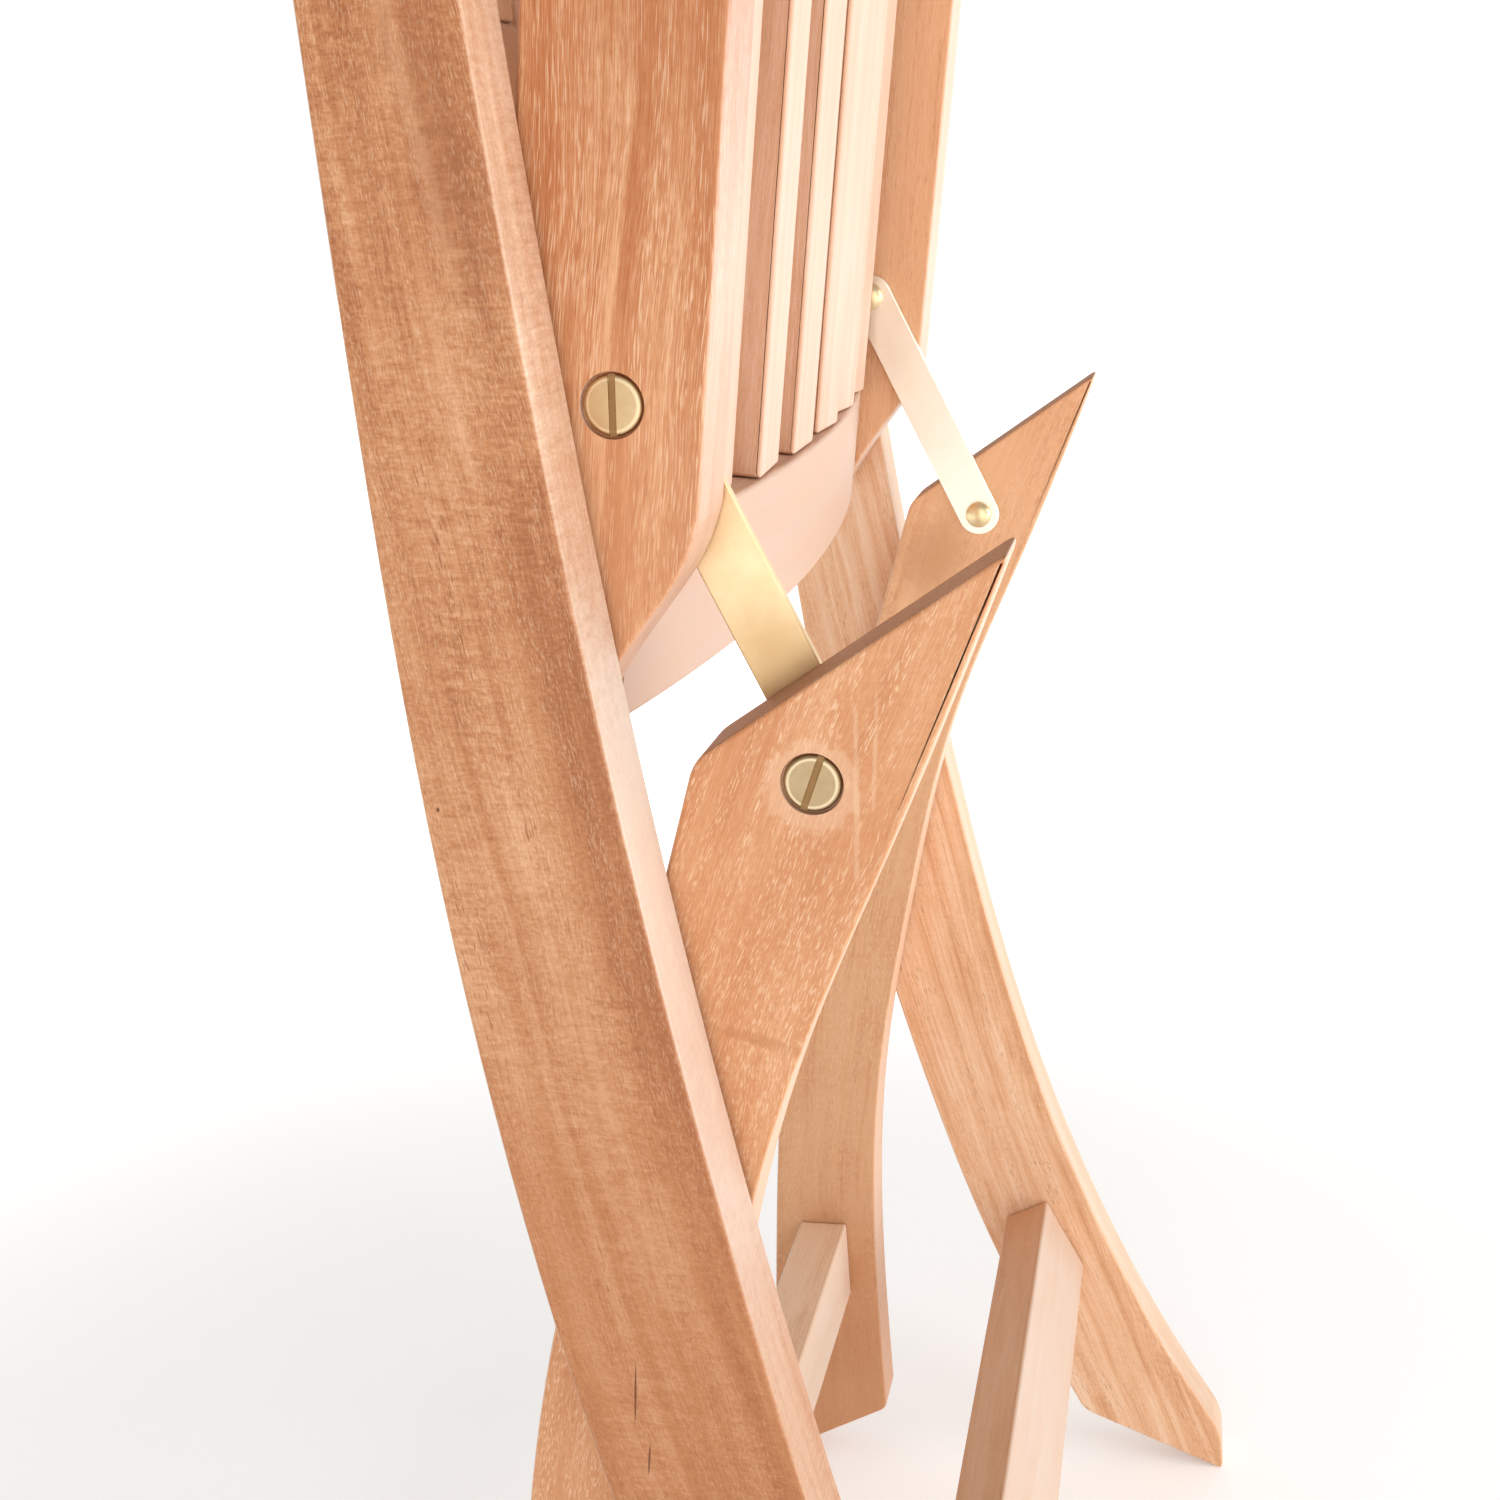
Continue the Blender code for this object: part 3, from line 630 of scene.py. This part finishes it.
def timber_group():
    """Sawn and oiled hardwood: colour, roughness and relief from a piece's own coordinates."""
    tree = bpy.data.node_groups.new("timber", "ShaderNodeTree")
    for name, kind, value in GROUP_INPUTS:
        socket = tree.interface.new_socket(name, in_out="INPUT", socket_type="NodeSocket" + kind)
        socket.default_value = value
    for name, kind in (("Color", "Color"), ("Roughness", "Float"), ("Normal", "Vector")):
        tree.interface.new_socket(name, in_out="OUTPUT", socket_type="NodeSocket" + kind)
    t = Tree(tree)
    given = t.node("NodeGroupInput").outputs
    spot = t.node("ShaderNodeTexCoord")
    x, y, z = t.node("ShaderNodeSeparateXYZ", {0: t.millimetres(spot)}).outputs
    bent = t.math("SUBTRACT", y, t.total(t.times(given["Bend"], t.times(z, z)), t.times(given["Lean"], z)))
    seed = given["Seed"]
    place = t.node("ShaderNodeCombineXYZ", {0: t.total(x, t.times(seed, 17.3)),
                                            1: t.total(bent, t.times(seed, 29.1)),
                                            2: t.total(z, t.times(seed, 61.7))}).outputs[0]
    wander = t.centred(t.noise(place, (0.012, 0.012, 0.006), 2.0), 18.0)
    wander_2 = t.centred(t.noise(place, (0.02, 0.02, 0.008), 2.0, shift=41.0), 12.0)
    grain = t.node("ShaderNodeVectorMath", {0: place, 1: t.node("ShaderNodeCombineXYZ", {
        0: wander, 1: wander_2}).outputs[0]}, operation="ADD").outputs[0]

    lanes = t.noise(grain, (0.14, 0.19, 0.0024), 2.0, 0.5, shift=7.0)
    streak = t.noise(grain, (1.1, 1.0, 0.010), 3.0, 0.6, shift=13.0)
    fibre = t.noise(grain, (3.0, 3.0, 0.05), 2.0, 0.6, shift=19.0)
    hair = t.noise(grain, (4.5, 4.5, 0.3), 1.0, 0.5, shift=23.0)
    mottle = t.noise(place, (0.028, 0.035, 0.013), 3.0, 0.55, shift=29.0)
    curl = t.noise(grain, (0.08, 0.13, 0.52), 3.0, 0.65, shift=31.0, distortion=0.3)
    curl_fine = t.noise(place, (0.5, 0.55, 1.15), 2.0, 0.6, shift=35.0)
    curl_where = t.band(t.noise(place, (0.03, 0.05, 0.012), 2.0, shift=37.0), 0.34, 0.62)
    ripple = t.times(t.centred(curl, 2.0), t.total(0.25, t.times(curl_where, 0.75)))
    figure = t.times(t.total(ripple, t.centred(curl_fine, 1.3)), given["Figure"])

    tone = t.total(0.5,
                   t.times(t.total(t.centred(lanes, 1.6), t.centred(streak, 1.1)), given["Lanes"]),
                   t.times(t.total(t.centred(fibre, 1.5), t.centred(hair, 0.9)), given["Fibre"]),
                   t.centred(mottle, given["Mottle"]),
                   figure)
    front = t.times(t.band(t.total(bent, t.centred(streak, 10.0)), 12.0, 26.0), given["Front"])
    tone = t.math("SUBTRACT", tone, front)
    colour = t.mix(t.ramp(tone, 0.5, 0.0), given["Base"], given["Deep"])
    colour = t.mix(t.ramp(tone, 0.5, 1.0), colour, given["Pale"])

    # The narrow edges, whose normals lie along y, take the paler Edge colour: partly the edge grain's own colour,
    # partly painted light.
    normal = t.node("ShaderNodeSeparateXYZ", {0: spot.outputs["Normal"]}).outputs
    on_edge = t.band(t.math("ABSOLUTE", normal[1]), 0.35, 0.9)
    edge_colour = t.mix(t.ramp(tone, 0.9, -0.4), given["Edge"], given["Base"])
    colour = t.mix(t.times(on_edge, 0.92), colour, edge_colour)

    dash_scale = t.node("ShaderNodeCombineXYZ", {0: 2.5, 1: 2.5, 2: t.math("DIVIDE", 1.0, given["Dash length"])})
    dash = t.noise(grain, dash_scale.outputs[0], 1.0, 0.4, shift=43.0)
    dash_where = t.band(t.noise(grain, (0.16, 0.22, 0.012), 2.0, shift=47.0), 0.3, 0.58)
    dashes = t.times(t.times(t.band(dash, 0.52, 0.68), dash_where), given["Dashes"])
    pore = t.noise(grain, (1.9, 1.9, 0.22), 1.0, 0.4, shift=53.0)
    pore_where = t.band(t.noise(place, (0.07, 0.10, 0.014), 2.0, shift=59.0), 0.42, 0.66)
    pores = t.times(t.times(t.band(pore, 0.61, 0.71), pore_where), given["Pores"])
    quiet = t.math("SUBTRACT", 1.0, t.times(on_edge, 0.75))
    dashes, pores = t.times(dashes, quiet), t.times(pores, quiet)
    # Pale flecks along the grain, their colour drawn towards GLINT: the wood's own flecks with a painted glint.
    colour = t.mix(dashes, colour, t.mix(0.45, given["Pale"], GLINT))
    colour = t.mix(pores, colour, t.mix(0.5, given["Deep"], PORE))

    end = t.times(t.band(t.math("ABSOLUTE", normal[2]), 0.45, 0.8), given["End"])
    end_speck = t.noise(place, (1.3, 1.3, 1.3), 2.0, 0.6, shift=61.0)
    colour = t.mix(end, colour, t.mix(t.band(end_speck, 0.35, 0.7), END_DARK, END_PALE))

    rough = t.total(0.48, t.centred(fibre, 0.25), t.times(pores, 0.15), t.times(end, 0.15))
    height = t.total(t.centred(fibre, 0.6), t.centred(hair, 0.5), t.times(pores, -0.7), t.times(dashes, -0.2),
                     t.times(t.centred(curl, 0.5), given["Figure"]))
    bump = t.node("ShaderNodeBump", {"Height": height, "Strength": 0.6, "Distance": 0.0001})
    t.node("NodeGroupOutput", {"Color": colour, "Roughness": rough, "Normal": bump.outputs[0]})
    return tree


TIMBER = timber_group()


def principled(name):
    made = bpy.data.materials.new(name)
    made.use_nodes = True
    return made, Tree(made.node_tree), made.node_tree.nodes["Principled BSDF"]


def timber(name, seed, looks):
    """A wood material: the shared timber group with one piece's colours and amounts."""
    made, t, shader = principled("wood_" + name)
    group = t.node("ShaderNodeGroup", node_tree=TIMBER)
    group.inputs["Seed"].default_value = seed
    for key, value in looks.items():
        group.inputs[key].default_value = (*value, 1.0) if isinstance(value, tuple) else value
    t.put(shader.inputs["Base Color"], group.outputs["Color"])
    t.put(shader.inputs["Roughness"], group.outputs["Roughness"])
    t.put(shader.inputs["Normal"], group.outputs["Normal"])
    shader.inputs["Specular IOR Level"].default_value = 0.3
    return made


def stain_shade_and_light(made, centre, size, degrees, colour, strength, wobble=0.25, soft=0.35, edge=False):
    """An elliptical mark seen from the side of a board, on its whole surface or only on its edges; it paints real
    marks of the wood, and also painted shade and painted light.
    """
    t = Tree(made.node_tree)
    shader = made.node_tree.nodes["Principled BSDF"]
    before = shader.inputs["Base Color"].links[0].from_socket
    spot = t.node("ShaderNodeTexCoord")
    mm = t.millimetres(spot)
    shifted = t.node("ShaderNodeVectorMath", {0: mm, 1: (0.0, *centre)}, operation="SUBTRACT").outputs[0]
    turned = t.node("ShaderNodeVectorRotate", {"Vector": shifted, "Angle": math.radians(degrees)},
                    rotation_type="X_AXIS")
    scaled = t.node("ShaderNodeVectorMath", {0: turned.outputs[0], 1: (0.0, 1 / size[0], 1 / size[1])},
                    operation="MULTIPLY").outputs[0]
    far = t.node("ShaderNodeVectorMath", {0: scaled}, operation="LENGTH").outputs["Value"]
    rough = t.noise(mm, (0.3, 0.3, 0.3), 3.0, 0.6, shift=centre[0])
    far = t.total(far, t.centred(rough, wobble * 3))
    mask = t.band(far, 1 + soft, 1 - soft)
    if edge:
        normal = t.node("ShaderNodeSeparateXYZ", {0: spot.outputs["Normal"]}).outputs
        mask = t.times(mask, t.band(t.math("ABSOLUTE", normal[0]), 0.7, 0.35))
    t.put(shader.inputs["Base Color"], t.mix(t.times(mask, strength), before, (*colour, 1.0)))


def brass(name, light, deep, roughness, brushed, slot=None):
    """Satin brass with fine marks, brushed along z or turned about x; slot is a screw slot's angle."""
    made, t, shader = principled(name)
    mm = t.millimetres(t.node("ShaderNodeTexCoord"))
    split = t.node("ShaderNodeSeparateXYZ", {0: mm}).outputs
    radius = t.math("SQRT", t.total(t.times(split[1], split[1]), t.times(split[2], split[2])))
    if brushed:
        marks = t.noise(mm, (3.0, 4.5, 0.09), 3.0, 0.6)
    else:
        ring = t.node("ShaderNodeCombineXYZ", {0: t.times(radius, 5.0)}).outputs[0]
        marks = t.noise(ring, (1.0, 1.0, 1.0), 2.0, 0.6)
    cloud = t.noise(mm, (0.14, 0.14, 0.14), 3.0, 0.55, shift=5.0)
    speck = t.noise(mm, (1.6, 1.6, 1.6), 2.0, 0.6, shift=9.0)
    tone = t.total(0.5, t.centred(marks, 0.5), t.centred(cloud, 0.9), t.centred(speck, 0.5))
    colour = t.mix(t.band(tone, 0.1, 0.9), (*deep, 1.0), (*light, 1.0))
    rough = t.total(roughness, t.centred(marks, 0.18), t.centred(speck, 0.1))
    if slot is not None:
        worn = t.times(t.band(radius, 5.9, 6.3), t.band(radius, 7.0, 6.5))
        colour = t.mix(t.times(worn, 0.5), colour, WORN_BRASS)
        along = t.node("ShaderNodeVectorRotate", {"Vector": mm, "Angle": -slot}, rotation_type="X_AXIS")
        aside = t.math("ABSOLUTE", t.node("ShaderNodeSeparateXYZ", {0: along.outputs[0]}).outputs[1])
        inside = t.band(t.total(aside, t.centred(speck, 0.2)), SLOT_WIDTH / 2 + 0.08, SLOT_WIDTH / 2 - 0.12)
        colour = t.mix(t.times(inside, 0.85), colour, SLOT_BRASS)
        rough = t.total(rough, t.times(inside, 0.2))
    t.put(shader.inputs["Base Color"], colour)
    t.put(shader.inputs["Roughness"], rough)
    height = t.total(t.centred(marks, 0.6), t.centred(speck, 0.5))
    bump = t.node("ShaderNodeBump", {"Height": height, "Strength": 0.35, "Distance": 0.00004})
    t.put(shader.inputs["Normal"], bump.outputs[0])
    shader.inputs["Metallic"].default_value = 1.0
    return made


LONG_LOOKS = {"Base": (0.5, 0.215, 0.09), "Deep": (0.34, 0.115, 0.04), "Pale": (0.64, 0.345, 0.185),
              "Edge": (0.8, 0.61, 0.46), "Bend": 0.000226, "Lean": -0.243, "Lanes": 0.6, "Fibre": 0.4,
              "Dashes": 0.26, "Dash length": 1.8, "Pores": 0.65, "Figure": 0.62, "Mottle": 1.2, "Front": 0.3}
SHORT_LOOKS = {"Base": (0.61, 0.28, 0.128), "Deep": (0.48, 0.17, 0.062), "Pale": (0.76, 0.455, 0.26),
               "Edge": (0.82, 0.6, 0.45), "Bend": 0.00047, "Lean": 0.265, "Lanes": 0.3, "Fibre": 0.45,
               "Dashes": 0.55, "Dash length": 2.6, "Pores": 0.2, "Figure": 0.15, "Mottle": 0.9, "End": 0.7}
RAIL_LOOKS = {"Base": (0.535, 0.222, 0.093), "Deep": (0.43, 0.14, 0.045), "Pale": (0.72, 0.41, 0.22),
              "Edge": (0.82, 0.6, 0.49), "Lanes": 0.75, "Fibre": 0.85, "Dashes": 0.6, "Dash length": 8.0,
              "Pores": 0.4, "Mottle": 0.6}
SLAT_LOOKS = {"Base": (0.68, 0.37, 0.22), "Deep": (0.56, 0.27, 0.145), "Pale": (0.8, 0.55, 0.4),
              "Edge": (0.78, 0.57, 0.455), "Lanes": 0.7, "Fibre": 0.5, "Dashes": 0.3, "Pores": 0.15, "Mottle": 0.7}
CROSS_RAIL_LOOKS = {"Base": (0.66, 0.42, 0.29), "Deep": (0.5, 0.27, 0.17), "Pale": (0.76, 0.56, 0.44),
                    "Edge": (0.6, 0.42, 0.325), "Lanes": 1.0, "Fibre": 0.6, "Dashes": 0.2, "Pores": 0.2,
                    "Mottle": 1.1}
FRONT_STRETCHER_LOOKS = {"Base": (0.72, 0.4, 0.23), "Deep": (0.56, 0.28, 0.14), "Pale": (0.8, 0.52, 0.35),
                         "Edge": (0.72, 0.6, 0.51), "Lanes": 0.5, "Fibre": 0.4, "Dashes": 0.3, "Pores": 0.2,
                         "Mottle": 0.7}
# The rear stretcher is a paler copy of the front stretcher's wood: painted light, lifting it out of its shadow.
REAR_STRETCHER_LIT_LOOKS = {**FRONT_STRETCHER_LOOKS, "Base": (0.86, 0.57, 0.38), "Pale": (0.9, 0.66, 0.48),
                        "Edge": (0.88, 0.74, 0.62)}
BACK_LOOKS = {"Base": (0.56, 0.28, 0.14), "Deep": (0.4, 0.17, 0.075), "Pale": (0.7, 0.42, 0.25),
              "Edge": (0.68, 0.43, 0.27), "Lanes": 0.8, "Fibre": 0.6, "Dashes": 0.5, "Pores": 0.4, "Figure": 0.3,
              "Mottle": 0.8}
# The lower back rail is a darker copy of the back's wood: painted shade, as it sits in shadow between the seat and
# the back.
BACK_LOWER_SHADED_LOOKS = {**BACK_LOOKS, "Base": (0.46, 0.21, 0.1), "Deep": (0.33, 0.125, 0.05),
                    "Pale": (0.58, 0.31, 0.17), "Edge": (0.48, 0.25, 0.14)}
LONG_NEAR = timber("long_leg_right", 1.0, LONG_LOOKS)
# The far-side leg and rail woods are paler copies of the near ones: painted light.
LONG_FAR = timber("long_leg_left", 4.0, {**LONG_LOOKS, "Base": (0.79, 0.46, 0.265), "Deep": (0.64, 0.3, 0.14),
                                         "Pale": (0.88, 0.61, 0.42), "Lanes": 1.0, "Figure": 0.2, "Front": 0.0})
SHORT_NEAR = timber("short_leg_right", 8.0, SHORT_LOOKS)
SHORT_FAR = timber("short_leg_left", 11.0, {**SHORT_LOOKS, "Base": (0.7, 0.38, 0.2), "Dashes": 0.3})
RAIL_NEAR = timber("seat_rail_right", 15.0, RAIL_LOOKS)
RAIL_FAR = timber("seat_rail_left", 21.0, {**RAIL_LOOKS, "Base": (0.72, 0.4, 0.22), "Deep": (0.55, 0.23, 0.1),
                                           "Dashes": 0.3})
BRASS_LINK = brass("brass_link", (0.84, 0.67, 0.42), (0.74, 0.56, 0.32), 0.36, True)
# The far link's brass is a paler copy of the near link's: painted light and a painted bright reflection.
BRASS_LINK_FAR_LIT = brass("brass_link_left", (0.98, 0.96, 0.86), (0.97, 0.93, 0.8), 0.38, True)
# The leg screws' brass is a darker copy of the seat screws': painted shade, for the dimmer reflection in their
# heads.
BRASS_SCREW = {"seat": brass("brass_screw_seat", (0.66, 0.5, 0.29), (0.54, 0.39, 0.21), 0.4, False, UPPER_SLOT_TURN),
               "rear_legs": brass("brass_screw_leg_shaded", (0.44, 0.33, 0.19), (0.36, 0.255, 0.135), 0.4, False,
                                  LOWER_SLOT_TURN)}
BRASS_NUT = brass("brass_nut", (0.84, 0.69, 0.42), (0.7, 0.54, 0.3), 0.34, False)


def make_marks():
    """Tones, streaks and cracks at their places (y, z) on single boards, and painted shade and painted light at some
    of them.
    """
    halo_at = (LINK_BOTTOM[0], LINK_BOTTOM[1] - 1)
    stain_shade_and_light(SHORT_NEAR, halo_at, (12.6, 12.2), 0, (0.76, 0.5, 0.33), 0.4, wobble=0.22, soft=0.12)
    stain_shade_and_light(SHORT_NEAR, (30, 59.5), (12, 1.8), 14, (0.47, 0.19, 0.07), 0.4, wobble=0.5)
    stain_shade_and_light(SHORT_NEAR, (58.5, 130), (0.7, 27), 1, PALE_STREAK, 0.24, wobble=0.7)
    stain_shade_and_light(SHORT_NEAR, (63.5, 140), (0.6, 16), 3, PALE_STREAK, 0.22, wobble=0.7)
    stain_shade_and_light(RAIL_NEAR, (20, 10), (30, 70), 0, (0.72, 0.38, 0.2), 0.35, wobble=0.3, soft=0.6)
    stain_shade_and_light(RAIL_NEAR, (15, 260), (40, 110), 0, (0.37, 0.11, 0.03), 0.6, wobble=0.3, soft=0.6)
    # Painted shade and a painted darker reflection on the near link's lower part, where it passes behind the short
    # leg's top.
    stain_shade_and_light(BRASS_LINK, (0, 18), (14, 26), 0, (0.5, 0.31, 0.14), 0.72, wobble=0.1, soft=0.5)
    # Painted light: a paler patch on the near long leg's narrow edges, part way up the leg.
    stain_shade_and_light(LONG_NEAR, (5, 80), (40, 95), -9, (0.86, 0.76, 0.66), 0.6, wobble=0.2, soft=0.4, edge=True)
    stain_shade_and_light(LONG_NEAR, (-5, -40), (70, 110), 0, (0.43, 0.155, 0.055), 0.4, wobble=0.2, soft=0.6)
    # Painted shadow on the far short leg's inner face near its top, below the link.
    stain_shade_and_light(SHORT_FAR, (26, 112), (14, 17), 30, (0.44, 0.19, 0.08), 0.5, wobble=0.2, soft=0.6)
    stain_shade_and_light(SHORT_FAR, (-40, -335), (70, 75), 0, (0.48, 0.19, 0.075), 0.55, wobble=0.2, soft=0.6)
    stain_shade_and_light(LONG_NEAR, (-27, 285), (6.5, 34), -13, (0.3, 0.11, 0.045), 0.35, wobble=0.9, soft=0.7)
    stain_shade_and_light(LONG_NEAR, (-36.5, 308), (2, 60), -11, (0.68, 0.4, 0.23), 0.22, wobble=0.8, soft=0.8)
    stain_shade_and_light(LONG_NEAR, (-2.4, -36.5), (0.3, 9), 4, CRACK, 0.85, wobble=0.2)
    stain_shade_and_light(LONG_NEAR, (0.3, -57.5), (0.3, 5), 6, CRACK, 0.8, wobble=0.2)
    stain_shade_and_light(LONG_NEAR, (-43.8, 131.1), (0.45, 0.6), 0, (0.1, 0.03, 0.015), 0.9, wobble=0.1)


# ---------------------------------------------------------------- stage, light and camera

def make_floor():
    bpy.ops.mesh.primitive_circle_add(vertices=96, radius=FLOOR_RADIUS, fill_type="NGON")
    floor = bpy.context.active_object
    floor.name = "floor"
    made, t, shader = principled("pale_floor")
    spot = t.node("ShaderNodeTexCoord").outputs["Object"]
    split = t.node("ShaderNodeSeparateXYZ", {0: spot}).outputs
    radius = t.math("SQRT", t.total(t.times(split[0], split[0]), t.times(split[1], split[1])))
    shader.inputs["Base Color"].default_value = (0.9, 0.9, 0.9, 1.0)
    shader.inputs["Roughness"].default_value = 0.8
    shader.inputs["Emission Color"].default_value = (1.0, 1.0, 1.0, 1.0)
    t.put(shader.inputs["Emission Strength"], t.total(0.24, t.times(t.band(radius, 0.45, 1.6), 0.76)))
    floor.data.materials.append(made)


def make_light(name, place, target_height, power):
    data = bpy.data.lights.new(name, "AREA")
    data.shape = "SQUARE"
    data.size = SOFTBOX_SIZE
    data.energy = power
    made = bpy.data.objects.new(name, data)
    bpy.context.scene.collection.objects.link(made)
    made.location = place
    made.rotation_euler = (Vector((0.0, 0.0, target_height)) - Vector(place)).to_track_quat("-Z", "Y").to_euler()
    made.visible_camera = False


def make_studio():
    made = bpy.data.worlds.new("studio")
    bpy.context.scene.world = made
    made.use_nodes = True
    t = Tree(made.node_tree)
    light = made.node_tree.nodes["Background"]
    light.inputs["Color"].default_value = (1.0, 0.985, 0.97, 1.0)
    light.inputs["Strength"].default_value = 0.58
    seen = t.node("ShaderNodeBackground", {"Color": (1.0, 1.0, 1.0, 1.0), "Strength": 1.05})
    camera_ray = t.node("ShaderNodeLightPath").outputs["Is Camera Ray"]
    both = t.node("ShaderNodeMixShader", {0: camera_ray, 1: light.outputs[0], 2: seen.outputs[0]})
    t.put(made.node_tree.nodes["World Output"].inputs[0], both.outputs[0])
    make_light("front softbox", (-0.3, -2.2, 0.8), 0.4, 29.0)
    make_light("side softbox", (-2.3, -0.6, 0.7), 0.4, 15.0)
    make_light("far softbox", (2.2, -0.9, 1.1), 0.5, 8.0)


def make_camera():
    data = bpy.data.cameras.new("camera")
    data.lens = CAMERA_LENS
    data.sensor_width = 36.0
    data.clip_start = 0.02
    made = bpy.data.objects.new("camera", data)
    bpy.context.scene.collection.objects.link(made)
    made.location = Vector(CAMERA_PLACE) * MM
    made.rotation_euler = Euler([math.radians(a) for a in CAMERA_TURN])
    bpy.context.scene.camera = made


make_marks()
make_timber()
make_links()
make_fasteners()
# The pins and washers, which can't be seen, keep their CAD shape
for node in frame["nodes"].values():
    if not node.hide_render:
        node.data.materials.clear()
        node.data.materials.append(BRASS_NUT)
make_floor()
make_studio()
make_camera()
bpy.context.scene.view_settings.view_transform = "Standard"
